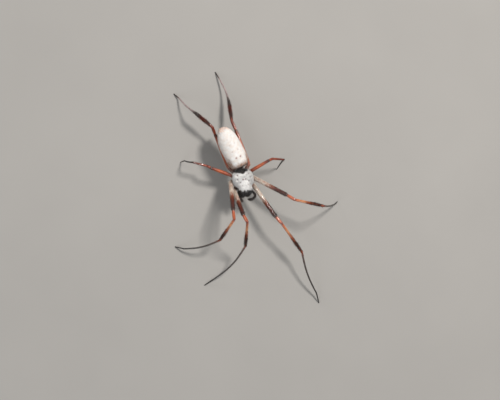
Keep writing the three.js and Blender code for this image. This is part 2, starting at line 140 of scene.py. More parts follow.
# The joints of one leg, from the breast plate to the tip, in the front body's own frame
def legJoints(sideName, pair):
    flip = np.array([sides[sideName], 1, 1])
    joints = [np.array(legs["roots"][pair]) * flip, np.array(legs["hips"][pair]) * flip]
    pose, lengths = legs[sideName][pair], legs["lengths"][pair]
    for (turn, slope), length in zip(pose[:4], lengths):
        joints.append(joints[-1] + length * heading(turn, slope))
    slope = math.degrees(math.asin((legs["tipHeight"] - joints[-1][2]) / lengths[4]))
    joints.append(joints[-1] + lengths[4] * heading(pose[4][0], slope))
    return np.array(joints)


# Where the waist's middle lies in the frame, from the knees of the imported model
def waistPlace():
    gaps = []
    for sideName in sides:
        for pair in range(4):
            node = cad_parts[f"leg{pair + 1}_{sideName}_patella"]
            seen = np.mean([vertex.co for vertex in node.data.vertices], axis=0) / mm
            gaps.append(seen - turned(legJoints(sideName, pair)[2:4], body["headTurn"]).mean(axis=0))
    return np.mean(gaps, axis=0)


waist = waistPlace()
waist[2] = cadBox[0][2] / mm
print("waist at", np.round(waist, 3))


def toFrame(points, turn=0.0, shift=0.0):
    return (turned(points, turn) + np.array([shift, 0, 0]) + waist) * mm


def fromFrame(point, turn):
    return turned(np.asarray(point) / mm - waist, -turn)


# Steady noise in space: a few waves of random directions
def makeNoise(seed, scale, count=14):
    rng = np.random.default_rng(seed)
    waves = unit(rng.normal(size=(count, 3))) * rng.uniform(0.6, 1.6, (count, 1)) / scale
    phases = rng.uniform(0, 2 * math.pi, count)
    loudness = math.sqrt(count / 2)
    return lambda points: np.sin(2 * math.pi * np.asarray(points) @ waves.T + phases).sum(-1) / loudness


def blend(low, high, mask):
    mask = np.asarray(mask, float)[..., None]
    return np.asarray(low) * (1 - mask) + np.asarray(high) * mask


# Rings of points, closed round, as a grid with its normals
class Skin:
    def __init__(self, rings):
        self.points = np.asarray(rings, float)
        self.values = {}
        self.along = unit(np.gradient(self.points, axis=0))
        around = unit(np.roll(self.points, -1, axis=1) - np.roll(self.points, 1, axis=1))
        self.normals = unit(np.cross(around, self.along))
        centre = self.points.mean(axis=1, keepdims=True)
        if ((self.points - centre) * self.normals).sum() < 0:
            self.normals = -self.normals

    def push(self, amount):
        self.points = self.points + self.normals * np.asarray(amount)[..., None]


def storeValues(mesh, name, kind, field, data):
    stored = mesh.attributes.new(name, kind, "POINT").data
    stored.foreach_set(field, np.asarray(data, np.float32).ravel())


# Several skins as one mesh, each with flat caps and its own strip of the unwrap
def skinMesh(name, skins, turn, strips=None, shift=0.0):
    points, faces, uvs = [], [], []
    values = {key: [] for key in skins[0].values}
    start = 0
    for index, skin in enumerate(skins):
        rows, columns = skin.points.shape[:2]
        count = rows * columns
        points.append(skin.points.reshape(-1, 3))
        points.append(skin.points[[0, -1]].mean(axis=1))
        for key in values:
            grid = skin.values[key]
            flat = grid.reshape(count, -1)
            values[key].append(np.vstack([flat, flat[:1], flat[-1:]]))
        i, k = np.meshgrid(np.arange(rows - 1), np.arange(columns), indexing="ij")
        i, k = i.ravel(), k.ravel()
        after = (k + 1) % columns
        corners = [i * columns + k, i * columns + after, (i + 1) * columns + after, (i + 1) * columns + k]
        quads = start + np.stack(corners, 1)
        low, width = strips[index] if strips else (0.0, 1.0)
        u = low + width * 0.98 * np.stack([k, k + 1, k + 1, k], 1) / columns
        v = 0.01 + 0.98 * np.stack([i, i, i + 1, i + 1], 1) / (rows - 1)
        flip = windingFlip(skin)
        quadUvs = np.stack([u, v], -1)
        if flip:
            quads, quadUvs = quads[:, ::-1], quadUvs[:, ::-1]
        faces += quads.tolist()
        uvs += quadUvs.reshape(-1, 2).tolist()
        ring = np.arange(columns)
        caps = [(0, count, True), (count - columns, count + 1, False)]
        for cap, (base, middle, turnedRound) in enumerate(caps):
            edge = start + base
            fan = np.stack([edge + ring, edge + (ring + 1) % columns, np.full(columns, start + middle)], 1)
            if turnedRound != flip:
                fan = fan[:, ::-1]
            faces += fan.tolist()
            uvs += [[low + width * 0.5, 0.005 + 0.99 * cap]] * (3 * columns)
        start += count + 2
    mesh = bpy.data.meshes.new(name)
    mesh.from_pydata(toFrame(np.vstack(points), turn, shift).tolist(), [], faces)
    mesh.uv_layers.new(name="skinUv").data.foreach_set("uv", np.array(uvs, np.float32).ravel())
    for key, parts in values.items():
        data = np.vstack(parts)
        if data.shape[1] == 1:
            storeValues(mesh, key, "FLOAT", "value", data)
        elif key.endswith("Colour"):
            storeValues(mesh, key, "FLOAT_COLOR", "color", np.hstack([data, np.ones((len(data), 1))]))
        else:
            storeValues(mesh, key, "FLOAT_VECTOR", "vector", unit(turned(data, turn)))
    mesh.shade_smooth()
    mesh.validate()
    return mesh


# Equal shares of the unwrap's width: start, width
def evenStrips(count):
    return [(k / count, 1 / count) for k in range(count)]


# Whether the rings run so that plain quads would face inward
def windingFlip(skin):
    row = skin.points.shape[0] // 2
    a, b, c = skin.points[row, 0], skin.points[row, 1], skin.points[row + 1, 0]
    return float(np.dot(np.cross(b - a, c - a), skin.normals[row, 0])) < 0


def addPiece(name, mesh, materials, slot, *nodes):
    piece = bpy.data.objects.new(name, mesh)
    bpy.context.scene.collection.objects.link(piece)
    mesh.materials.clear()
    for material in materials:
        mesh.materials.append(material)
    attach(piece, "root")
    if nodes:
        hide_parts(*nodes)
    return piece


# One socket of a node tree. Sums on it add Math nodes.
class Wire:
    def __init__(self, board, socket):
        self.board = board
        self.socket = socket

    def maths(self, operation, *values):
        return self.board.add("ShaderNodeMath", {"operation": operation}, dict(enumerate(values)))

    def __add__(self, other):
        return self.maths("ADD", self, other)

    def __sub__(self, other):
        return self.maths("SUBTRACT", self, other)

    def __rsub__(self, other):
        return self.maths("SUBTRACT", other, self)

    def __mul__(self, other):
        return self.maths("MULTIPLY", self, other)

    __radd__ = __add__
    __rmul__ = __mul__


# A node tree that is built one node at a time
class Board:
    def __init__(self, tree):
        self.tree = tree

    def add(self, kind, settings=None, inputs=None, output=0):
        node = self.tree.nodes.new(kind)
        for key, value in (settings or {}).items():
            if key == "stops":
                self.setStops(node.color_ramp, value)
            else:
                setattr(node, key, value)
        for key, value in (inputs or {}).items():
            self.feed(node.inputs[key], value)
        return Wire(self, node.outputs[output]) if node.outputs else None

    def feed(self, socket, value):
        if isinstance(value, Wire):
            self.tree.links.new(value.socket, socket)
        else:
            socket.default_value = value

    def setStops(self, ramp, stops):
        while len(ramp.elements) < len(stops):
            ramp.elements.new(0.5)
        for element, (place, colour) in zip(ramp.elements, stops):
            element.position = place
            element.color = (*colour, 1) if len(colour) == 3 else colour

    def colourMix(self, low, high, share, mode="MIX"):
        low = (*low, 1) if isinstance(low, tuple) else low
        high = (*high, 1) if isinstance(high, tuple) else high
        settings = {"data_type": "RGBA", "blend_type": mode}
        return self.add("ShaderNodeMix", settings, {0: share, 6: low, 7: high}, output=2)


def newMaterial(name):
    material = bpy.data.materials.new(name)
    material.use_nodes = True
    material.node_tree.nodes.clear()
    return material, Board(material.node_tree)


def finishMaterial(board, colour, roughness, bump=None, depth=0.0, coat=0.0, specular=0.5, sheen=0.0):
    inputs = {"Base Color": colour, "Roughness": roughness, "Coat Weight": coat}
    inputs.update({"Specular IOR Level": specular, "Sheen Weight": sheen})
    if bump is not None:
        relief = {"Height": bump, "Distance": depth, "Strength": 1.0}
        inputs["Normal"] = board.add("ShaderNodeBump", {}, relief)
    shader = board.add("ShaderNodeBsdfPrincipled", {}, inputs)
    board.add("ShaderNodeOutputMaterial", {}, {"Surface": shader})


def noise(board, place, size, detail=3.0):
    inputs = {"Vector": place, "Scale": 1 / (size * mm), "Detail": detail, "Roughness": 0.55}
    return board.add("ShaderNodeTexNoise", {}, inputs)


def objectPlace(board):
    return board.add("ShaderNodeTexCoord", {}, {}, output=3)


def attribute(board, name):
    return board.add("ShaderNodeAttribute", {"attribute_name": name})


# Hard shell: its painted colour, mottled, with fine pores
def shellMaterial(name, roughness, poreSize, poreDepth, mottle, coat):
    material, board = newMaterial(name)
    place = objectPlace(board)
    painted = attribute(board, "skinColour")
    large = noise(board, place, 0.9)
    fine = noise(board, place, poreSize, 2.0)
    stops = [(0.3, (1 - mottle,) * 3), (0.7, (1 + mottle * 0.4,) * 3)]
    shade = board.add("ShaderNodeValToRGB", {"stops": stops}, {0: large})
    colour = board.colourMix(painted, shade, 1.0, "MULTIPLY")
    finishMaterial(board, colour, roughness + fine * 0.12, fine, poreDepth * mm, coat)
    return material


# Solid hair: its root's colour, a little lighter or darker from tuft to tuft
def hairMaterial(name, roughness, spread, sheen=0.0):
    material, board = newMaterial(name)
    place = objectPlace(board)
    painted = attribute(board, "coatColour")
    tuft = noise(board, place, 0.3, 1.0)
    stops = [(0.3, (1 - spread,) * 3), (0.7, (1 + spread * 0.6,) * 3)]
    shade = board.add("ShaderNodeValToRGB", {"stops": stops}, {0: tuft})
    colour = board.colourMix(painted, shade, 1.0, "MULTIPLY")
    finishMaterial(board, colour, roughness, None, 0.0, 0.0, 0.35, sheen)
    return material


# Camera and light
view = {
    "pixelSize": 0.42,
    "heightSeen": 10.0,
    "distance": 1200.0,
    "roll": 17.5,
    "tilt": 13.0,
    "waistPixel": (240.4, 170.6),
    "photoSize": (500, 400),
    "sensor": 36.0,
}


# The camera looks down at the back, rolled and tilted as in the photo
def addCamera():
    roll, tilt = math.radians(view["roll"]), math.radians(view["tilt"])
    back = np.array([-math.sin(tilt), 0, math.cos(tilt)])
    level = np.array([math.cos(tilt), 0, math.sin(tilt)])
    tail = np.array([0, 1, 0])
    right = math.cos(roll) * level - math.sin(roll) * tail
    up = math.sin(roll) * level + math.cos(roll) * tail
    focal = view["distance"] / view["pixelSize"]
    width, height = view["photoSize"]
    offX, offY = view["waistPixel"][0] - width / 2, height / 2 - view["waistPixel"][1]
    ray = -back + offX / focal * right + offY / focal * up
    place = toFrame(np.array([0, 0, view["heightSeen"]]) - view["distance"] * ray)
    lens = bpy.data.cameras.new("camera")
    lens.sensor_width = view["sensor"]
    lens.lens = focal * view["sensor"] / width
    lens.clip_start, lens.clip_end = 0.05, 10
    camera = bpy.data.objects.new("camera", lens)
    bpy.context.scene.collection.objects.link(camera)
    matrix = Matrix([[right[i], up[i], back[i], place[i]] for i in range(3)] + [[0, 0, 0, 1]])
    camera.matrix_world = matrix
    bpy.context.scene.camera = camera


lights = {
    "key": {
        "from": (0.5, 0.3, 0.95), "distance": 0.9, "size": 0.2, "power": 9.0,
        "colour": (1.0, 0.965, 0.93),
    },
    "fill": {
        "from": (-0.8, -0.5, 0.7), "distance": 0.8, "size": 0.5, "power": 1.8,
        "colour": (0.92, 0.96, 1.0),
    },
    "rim": {
        "from": (-0.4, 0.9, 0.45), "distance": 0.8, "size": 0.3, "power": 1.4,
        "colour": (1.0, 0.98, 0.95),
    },
    "sky": {"strength": 0.4, "colour": (0.95, 0.97, 1.0, 1)},
}


# A lamp from the upper right, a soft fill, a faint rim and a pale sky
def addLights():
    for name in ("key", "fill", "rim"):
        settings = lights[name]
        lamp = bpy.data.lights.new(name, "AREA")
        lamp.shape = "DISK"
        lamp.size = settings["size"]
        lamp.energy = settings["power"]
        lamp.color = settings["colour"]
        lampObject = bpy.data.objects.new(name, lamp)
        bpy.context.scene.collection.objects.link(lampObject)
        place = Vector(settings["from"]).normalized() * settings["distance"]
        lampObject.location = place
        lampObject.rotation_euler = place.to_track_quat("Z", "Y").to_euler()
    world = bpy.data.worlds.new("world")
    world.use_nodes = True
    sky = world.node_tree.nodes["Background"].inputs
    sky["Color"].default_value = lights["sky"]["colour"]
    sky["Strength"].default_value = lights["sky"]["strength"]
    bpy.context.scene.world = world
    bpy.context.scene.view_settings.view_transform = "Standard"


floor = {"size": 3.0, "cloud": 60, "colour": (0.26, 0.25, 0.235), "paler": (0.30, 0.288, 0.27)}


def addFloor():
    half = floor["size"] / 2
    mesh = bpy.data.meshes.new("floor")
    corners = [(-half, -half, 0), (half, -half, 0), (half, half, 0), (-half, half, 0)]
    mesh.from_pydata(corners, [], [(0, 1, 2, 3)])
    piece = bpy.data.objects.new("floor", mesh)
    bpy.context.scene.collection.objects.link(piece)
    material, board = newMaterial("paleFloor")
    cloud = noise(board, objectPlace(board), floor["cloud"])
    finishMaterial(board, board.colourMix(floor["colour"], floor["paler"], cloud), 0.9)
    mesh.materials.append(material)


addCamera()
addLights()
addFloor()
print("camera, lights and floor done")

# Front part of the body: share of its length, share of the widest half, share of the height of the back
prosomaTable = np.array([
    [0, 0.3, 0.1], [0.06, 0.56, 0.42], [0.16, 0.85, 0.76], [0.3, 1, 0.96], [0.42, 1, 1],
    [0.58, 0.9, 0.94], [0.7, 0.73, 1.02], [0.82, 0.68, 1.12], [0.91, 0.66, 1.06], [0.97, 0.6, 0.8],
    [1, 0.46, 0.42],
])


# The same smooth curve through the table as the solids use
def readTable(table, place, column):
    i = 0
    while i < len(table) - 2 and table[i + 1][0] < place:
        i += 1
    value = lambda k: table[min(max(k, 0), len(table) - 1)][column]
    s = min(max((place - table[i][0]) / (table[i + 1][0] - table[i][0]), 0), 1)
    slopeIn, slopeOut = (value(i + 1) - value(i - 1)) / 2, (value(i + 2) - value(i)) / 2
    rise = value(i + 1) - value(i)
    bend = 3 * rise - 2 * slopeIn - slopeOut + s * (slopeIn + slopeOut - 2 * rise)
    return value(i) + s * (slopeIn + s * bend)


# One closed section of the front part: its dome, then its underside
def prosomaSection(share):
    y = body["rear"] - share * body["length"]
    half = body["halfWidth"] * readTable(prosomaTable, share, 1) - body["coatDepth"]
    lift = max(share - body["jawStart"], 0) * body["jawLift"]
    domeHeight = body["backHeight"] - body["rimHeight"]
    rise = domeHeight * readTable(prosomaTable, share, 2) - body["coatDepth"]
    angles = np.linspace(0, math.pi, body["domePoints"])
    dome = np.stack([
        half * np.cos(angles),
        np.full_like(angles, y),
        body["rimHeight"] + max(rise, 0.05) * np.sin(angles).clip(0) ** 0.85,
    ], 1)
    bottom = min(body["coreFloor"] + lift + max(0.1 - share, 0) * 9, body["rimHeight"] - 0.7) + 0.05
    shoulder = body["rimHeight"] * 0.75 + bottom * 0.25
    path = np.array([[-1, body["rimHeight"]], [-0.86, shoulder], [-0.5, bottom + 0.25], [0, bottom],
                     [0.5, bottom + 0.25], [0.86, shoulder], [1, body["rimHeight"]]])
    steps = np.linspace(0, 6, body["underPoints"])[1:-1]
    across = np.interp(steps, range(7), half * path[:, 0])
    heights = np.interp(steps, range(7), path[:, 1])
    under = np.stack([across, np.full_like(steps, y), heights], 1)
    return np.vstack([dome, under])


def gauss(distance, size):
    return np.exp(-((distance / size) ** 2))


eyeRows = ("front_median", "rear_median", "front_side", "rear_side")
eyeNodes = [f"eye_{row}_{sideName}" for sideName in sides for row in eyeRows]


def eyeCentres():
    centres = {}
    for node in eyeNodes:
        low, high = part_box(node)
        centres[node] = (np.array((low + high) / 2), (high[0] - low[0]) / 2)
    return centres


eyesSeen = eyeCentres()

coatTones = {
    "silver": (0.70, 0.69, 0.675),
    "cream": (0.62, 0.49, 0.38),
    "fawn": (0.27, 0.135, 0.075),
    "darkBrown": (0.05, 0.022, 0.014),
    "black": (0.012, 0.009, 0.008),
    "grey": (0.075, 0.06, 0.055),
    "redBrown": (0.15, 0.022, 0.010),
    "rust": (0.29, 0.052, 0.016),
    "orange": (0.44, 0.095, 0.024),
    "paleOrange": (0.58, 0.24, 0.10),
    "mauve": (0.33, 0.25, 0.24),
    "paleCream": (0.78, 0.70, 0.62),
    "olive": (0.075, 0.055, 0.042),
}


def tone(*names):
    return [np.array(coatTones[name]) for name in names]


# Marks: across, along, size. The horns also have a height.
carapaceMarks = {
    "spots": [
        (0.52, -4.0, 0.27), (2.35, -1.9, 0.2), (2.7, -3.6, 0.24), (1.75, -5.0, 0.2), (1.15, -6.5, 0.18),
    ],
    "fovea": (0.0, -3.1, 0.42),
    "frontEdge": -8.75,
    "rearEdge": -0.95,
    "flankEdge": 11.15,
    "horns": (0.52, -4.0, 0.3, 0.42),
}


def carapaceSkin():
    shares = np.sin(np.linspace(0, math.pi / 2, body["rings"])) ** 1.1
    skin = Skin([prosomaSection(share) for share in shares])
    x, y, z = np.moveaxis(skin.points, -1, 0)
    top = smooth(11.2, 12.2, z)
    grooves = np.zeros_like(x)
    # On each side a neck groove and three spokes, with a dimple in the middle
    for side in (1, -1):
        neck = np.abs(side * x - (0.35 + (-3.4 - y) * 0.78)) * 0.78
        reach = smooth(-3.0, -3.6, y) * smooth(-7.6, -6.4, y)
        grooves += 0.2 * gauss(neck, 0.32) * reach
        for angle in (20, -10, -42):
            direction = np.array([math.cos(math.radians(angle)) * side, math.sin(math.radians(angle))])
            offX, offY = x, y + 3.1
            ahead = offX * direction[0] + offY * direction[1]
            across = np.abs(offX * direction[1] - offY * direction[0])
            grooves += 0.09 * gauss(across, 0.25) * smooth(0.7, 1.4, ahead) * smooth(4.1, 3.2, ahead)
    foveaX, foveaY, foveaSize = carapaceMarks["fovea"]
    grooves += 0.28 * gauss(np.hypot((x - foveaX) * 0.7, (y - foveaY) * 1.6), foveaSize)
    # Two small horns, and a low mound under each eye with a pit for it
    lifted = np.zeros_like(x)
    hornX, hornY, hornSize, hornHeight = carapaceMarks["horns"]
    for side in (1, -1):
        lifted += hornHeight * gauss(np.hypot(x - side * hornX, y - hornY), hornSize)
    for node, (centre, radius) in eyesSeen.items():
        place = fromFrame(centre, body["headTurn"])
        distance = np.linalg.norm(skin.points - place, axis=-1)
        size = radius / mm
        lifted += (0.34 if "side" in node else 0.1) * gauss(distance, 2.0 * size)
        lifted -= (0.3 if "side" in node else 0.18) * gauss(distance, 0.9 * size)
    waves = 0.025 * makeNoise(3, 0.8)(skin.points) * top
    skin.push((lifted - grooves) * np.where(z > 10.95, 1, 0) + waves)
    paintCarapace(skin)
    return skin


def paintCarapace(skin):
    x, y, z = np.moveaxis(skin.points, -1, 0)
    silver, black, redBrown = tone("silver", "black", "redBrown")
    darkBrown, cream = tone("darkBrown", "cream")
    ragged = makeNoise(5, 1.1)(skin.points) * 0.28 + makeNoise(6, 0.45)(skin.points) * 0.16
    front = carapaceMarks["frontEdge"] + 0.1 * x * x + ragged
    # The white stops short of the rear in a notch over the middle: the dark crescent there is the black
    # rear slope and, in part, painted shadow of the abdomen.
    slopeAndShadowNotch = 0.75 * gauss(np.abs(x), 1.5)
    rear = carapaceMarks["rearEdge"] - slopeAndShadowNotch + 0.5 * smooth(2.2, 3.2, np.abs(x)) + ragged * 0.3
    flankEdge = carapaceMarks["flankEdge"] + 1.3 * smooth(-4.8, -7.0, y)
    white = smooth(-0.12, 0.12, y - front) * smooth(0.12, -0.12, y - rear)
    white = white * smooth(-0.15, 0.15, z - flankEdge + ragged * 0.6)
    spots, aroundSpots = np.zeros_like(x), np.zeros_like(x)
    for markX, markY, size in carapaceMarks["spots"]:
        distance = np.hypot(np.abs(x) - markX, y - markY)
        spots = np.maximum(spots, gauss(distance, size))
        aroundSpots = np.maximum(aroundSpots, gauss(distance, 2.2 * size))
    white = white * (1 - np.clip(spots * 1.6, 0, 1))
    rim = smooth(11.5, 11.0, z) * smooth(10.5, 10.8, z)
    ground = blend(black, darkBrown, 0.5 + 0.4 * ragged)
    ground = blend(ground, redBrown, np.clip(spots, 0, 1) * 0.8)
    skin.values["skinColour"] = blend(ground, silver, white)
    coat = blend(black, silver * 1.12, white)
    coat = blend(coat, redBrown * 0.7, np.clip(spots * 1.6 - 0.2, 0, 1))
    skin.values["coatColour"] = blend(coat, cream, 0.35 * rim * white)
    skin.values["hairDensity"] = np.clip(white + 0.25 * (1 - white), 0, 1) * smooth(10.2, 10.9, z)
    skin.values["hairDensity"] *= eyeFree(skin.points)
    # Denser, longer black hair on the rear slope: partly the slope's own black, partly painted shadow of
    # the abdomen.
    rearSlopeAndShadow = smooth(-1.4, -0.6, y) * (1 - white)
    darkFace = smooth(-8.2, -9.2, y) * (1 - white)
    fullLength = 0.42 + 0.3 * white + 0.5 * rearSlopeAndShadow + 0.35 * darkFace
    skin.values["hairLength"] = fullLength * (1 - 0.6 * aroundSpots)
    skin.values["hairDensity"] *= (1 + 2.2 * rearSlopeAndShadow + 2.0 * darkFace) * (1 - np.clip(spots * 1.5, 0, 1))
    skin.values["hairLift"] = 0.12 + 0.25 * (1 - white)
    outward = np.stack([np.sign(x) * np.ones_like(x), np.zeros_like(x), np.zeros_like(x)], -1)
    sideways = smooth(0.4, 3.2, np.abs(x))[..., None]
    back = smooth(-2.4, -1.2, y)[..., None]
    lie = skin.along * (1 - 1.9 * back) + outward * sideways * 0.9
    skin.values["lie"] = unit(lie)


# No hair within a little of an eye
def eyeFree(points):
    free = np.ones(points.shape[:-1])
    for centre, radius in eyesSeen.values():
        distance = np.linalg.norm(points - fromFrame(centre, body["headTurn"]), axis=-1)
        free = free * smooth(1.5 * radius / mm, 2.1 * radius / mm, distance)
    return free


# Abdomen: a section is an ellipse whose size follows a blunt front and a rounder rear
def abdomenSize(share):
    widest = abdomen["widestAt"]
    if share < widest:
        return (1 - ((widest - share) / widest) ** 5) ** 0.25
    return (1 - ((share - widest) / (1 - widest)) ** 2.6) ** 0.5


# Pits: along, across, size, strength. Bands: how far from the end they start and stop.
abdomenMarks = {
    "pits": [
        (5.6, 1.0, 0.34, 1.0), (8.6, 1.35, 0.3, 0.4), (11.6, 1.2, 0.28, 0.3), (14.2, 0.95, 0.24, 0.2),
    ],
    "pitDepth": 0.2,
    "brownBand": (2.3, 1.2),
    # The shaded front band is painted shade: dark brown low on the front face
    "shadedFront": (0.9, 0.35),
    "rearBlush": (2.2, 0.4),
}


def abdomenSkin():
    count, around = abdomen["grid"]
    shares = 0.5 - 0.5 * np.cos(np.linspace(0.03, math.pi - 0.03, count))
    angles = np.linspace(0, 2 * math.pi, around, endpoint=False)
    rings = []
    for share in shares:
        size = abdomenSize(share)
        halfWidth = abdomen["halfWidth"] * size - abdomen["coatDepth"]
        halfHeight = abdomen["halfHeight"] * size - abdomen["coatDepth"]
        inside = abdomen["length"] - 2 * abdomen["coatDepth"]
        y = abdomen["start"] + abdomen["coatDepth"] + inside * share
        rings.append(np.stack([
            max(halfWidth, 0.1) * np.cos(angles),
            np.full_like(angles, y),
            abdomen["height"] + max(halfHeight, 0.1) * np.sin(angles),
        ], 1))
    skin = Skin(rings)
    x, y, z = np.moveaxis(skin.points, -1, 0)
    top = smooth(12.0, 14.0, z)
    pits = np.zeros_like(x)
    for pitY, pitX, size, strength in abdomenMarks["pits"]:
        pits += strength * gauss(np.hypot(np.abs(x) - pitX, y - pitY), size) * top
    folds = makeNoise(11, 1.6)(skin.points * np.array([1.0, 0.25, 1.0])) * (1 - top)
    bumps = makeNoise(12, 1.3)(skin.points)
    skin.push(-abdomenMarks["pitDepth"] * pits + 0.05 * folds + 0.035 * bumps)
    paintAbdomen(skin, pits)
    return skin


def paintAbdomen(skin, pits):
    x, y, z = np.moveaxis(skin.points, -1, 0)
    silver, cream, fawn = tone("silver", "cream", "fawn")
    redBrown, darkBrown, paleOrange = tone("redBrown", "darkBrown", "paleOrange")
    start, end = abdomen["start"], abdomen["start"] + abdomen["length"]
    bandBack, bandFront = abdomenMarks["brownBand"]
    shadedBack, shadedFront = abdomenMarks["shadedFront"]
    blushFront, blushBack = abdomenMarks["rearBlush"]
    coarse = makeNoise(21, 2.2)(skin.points)
    fine = makeNoise(22, 0.8)(skin.points)
    height = (z - abdomen["height"]) / abdomen["halfHeight"]
    shoulder = smooth(8.0, 4.5, y) * smooth(2.2, 3.8, np.abs(x) + 0.3 * coarse)
    flank = smooth(0.5, -0.35, height + 0.22 * coarse - 0.9 * shoulder)
    speckle = smooth(0.1, 0.9, fine + 0.5 * coarse)
    colour = blend(silver, cream, 0.2 + 0.18 * np.tanh(coarse))
    colour = blend(colour, fawn, flank * (0.35 + 0.5 * speckle) * (1 + 0.3 * shoulder))
    belly = smooth(-0.55, -0.85, height + 0.12 * coarse)
    colour = blend(colour, redBrown * 0.6, belly * 0.8)
    front = smooth(start + bandBack, start + bandFront, y + 0.35 * fine)
    colour = blend(colour, fawn, front * (0.55 + 0.45 * speckle))
    # Painted shade: dark brown on the lower front face, where the abdomen meets the waist
    shade = smooth(start + shadedBack, start + shadedFront, y + 0.2 * fine) * smooth(0.75, 0.2, height)
    colour = blend(colour, darkBrown, shade * 0.95)
    rear = smooth(end - blushFront, end - blushBack, y + 0.35 * fine)
    colour = blend(colour, paleOrange, rear * (0.3 + 0.3 * speckle))
    mark = np.clip(pits * 1.5, 0, 1)
    colour = blend(colour, redBrown, mark * 0.85)
    skin.values["skinColour"] = colour
    skin.values["coatColour"] = colour * 1.02
    sparseBelow = 0.55 + 0.45 * smooth(-0.9, -0.2, height)
    skin.values["hairDensity"] = np.clip(1 - mark * 1.3, 0.0, 1) * sparseBelow
    skin.values["hairLength"] = 0.42 + 0.1 * fine.clip(-1, 1) + 0.12 * flank + 0.25 * shade
    skin.values["hairLift"] = 0.1 + 0.1 * flank + 0.4 * shade
    skin.values["lie"] = unit(skin.along + np.array([0, 0, -0.25]) * (1 - np.abs(height))[..., None])


# A tube through centre points, with a frame that turns as little as it can
def tubeRings(centres, radii, around):
    centres = np.asarray(centres, float)
    along = unit(np.gradient(centres, axis=0))
    first = np.array([0.0, 0.0, 1.0]) if abs(along[0][2]) < 0.93 else np.array([0.0, 1.0, 0.0])
    up = unit(first - along[0] * first.dot(along[0]))
    angles = np.linspace(0, 2 * math.pi, around, endpoint=False)
    rings = []
    for centre, direction, radius in zip(centres, along, radii):
        up = unit(up - direction * up.dot(direction))
        side = np.cross(direction, up)
        rings.append(centre + radius * (np.cos(angles)[:, None] * side + np.sin(angles)[:, None] * up))
    return rings


# One run of a limb with rounded ends. Profile: share of its length, radius.
def limbRun(start, end, profile, around, step, bow=0.0, ends=(0.5, 0.6), overlap=(0.05, 0.05)):
    start, end = np.asarray(start, float), np.asarray(end, float)
    length = np.linalg.norm(end - start)
    direction = (end - start) / length
    low, high = -overlap[0] / length, 1 + overlap[1] / length
    places = np.linspace(low, high, max(int(length / step), 6))
    profile = np.array(profile, float)
    radii = np.interp(places, profile[:, 0], profile[:, 1])
    dome = np.linspace(math.pi / 2 - 0.12, 0, 5)[:-1]
    firstPlaces = low - ends[0] * radii[0] * np.sin(dome) / length
    lastPlaces = high + ends[1] * radii[-1] * np.sin(dome[::-1]) / length
    places = np.concatenate([firstPlaces, places, lastPlaces])
    radii = np.concatenate([radii[0] * np.cos(dome), radii, radii[-1] * np.cos(dome[::-1])])
    side = unit(np.cross(direction, [0, 0, 1]))
    sag = bow * np.sin(math.pi * np.clip(places, 0, 1))
    centres = start + direction * (places * length)[:, None] + side * sag[:, None]
    skin = Skin(tubeRings(centres, radii, around))
    skin.share = np.clip(places, 0, 1)
    return skin


# Colours along a leg: place 0 to 1 coxa, then femur, patella, tibia, metatarsus, tarsus
longLegShell = [
    (0, "darkBrown"), (0.9, "redBrown"), (1.0, "fawn"), (1.36, "cream"), (1.5, "rust"),
    (1.7, "redBrown"), (1.9, "redBrown"), (2.0, "darkBrown"), (2.06, "rust"), (2.5, "orange"),
    (2.95, "rust"), (3.0, "redBrown"), (3.05, "orange"), (3.3, "paleOrange"), (3.5, "orange"),
    (3.7, "rust"), (3.88, "redBrown"), (3.95, "orange"), (4.0, "rust"), (4.08, "olive"), (5.0, "black"),
    (6.0, "black"),
]
longLegCoat = [
    (0, "fawn"), (0.9, "cream"), (1.0, "paleCream"), (1.38, "paleCream"), (1.53, "fawn"),
    (1.6, "darkBrown"), (1.8, "grey"), (2.0, "grey"), (2.1, "rust"), (3.0, "cream"), (3.3, "fawn"),
    (3.45, "redBrown"), (3.62, "darkBrown"), (3.9, "black"), (4.0, "redBrown"), (4.3, "grey"),
    (6.0, "black"),
]
# On the short legs the orange in the middle of the femur is a painted highlight on the rust and red-brown
# shell
shortLegShell = [
    (0, "darkBrown"), (1.0, "redBrown"), (1.2, "rust"), (1.6, "orange"), (1.9, "redBrown"),
    (2.0, "darkBrown"), (2.1, "rust"), (2.9, "redBrown"), (3.1, "rust"), (3.9, "redBrown"),
    (4.0, "darkBrown"), (4.4, "black"), (6.0, "black"),
]
shortLegCoat = [
    (0, "fawn"), (1.0, "cream"), (1.3, "rust"), (2.0, "redBrown"), (3.5, "darkBrown"), (4.0, "black"),
    (6.0, "black"),
]
# On the rear legs the orange in the middle of the femur is a painted highlight on the rust shell
rearLegShell = [
    (0, "darkBrown"), (0.9, "redBrown"), (1.05, "rust"), (1.4, "orange"), (1.85, "rust"),
    (2.0, "darkBrown"), (2.08, "rust"), (2.9, "redBrown"), (3.1, "rust"), (3.5, "redBrown"),
    (4.0, "darkBrown"), (4.25, "mauve"), (4.9, "mauve"), (5.1, "darkBrown"), (6.0, "black"),
]
rearLegCoat = [
    (0, "fawn"), (1.0, "cream"), (1.2, "fawn"), (1.5, "redBrown"), (2.0, "redBrown"), (3.0, "redBrown"),
    (3.2, "grey"), (3.6, "redBrown"), (3.8, "grey"), (4.0, "grey"), (4.2, "mauve"), (5.0, "mauve"),
    (5.4, "grey"), (6.0, "black"),
]
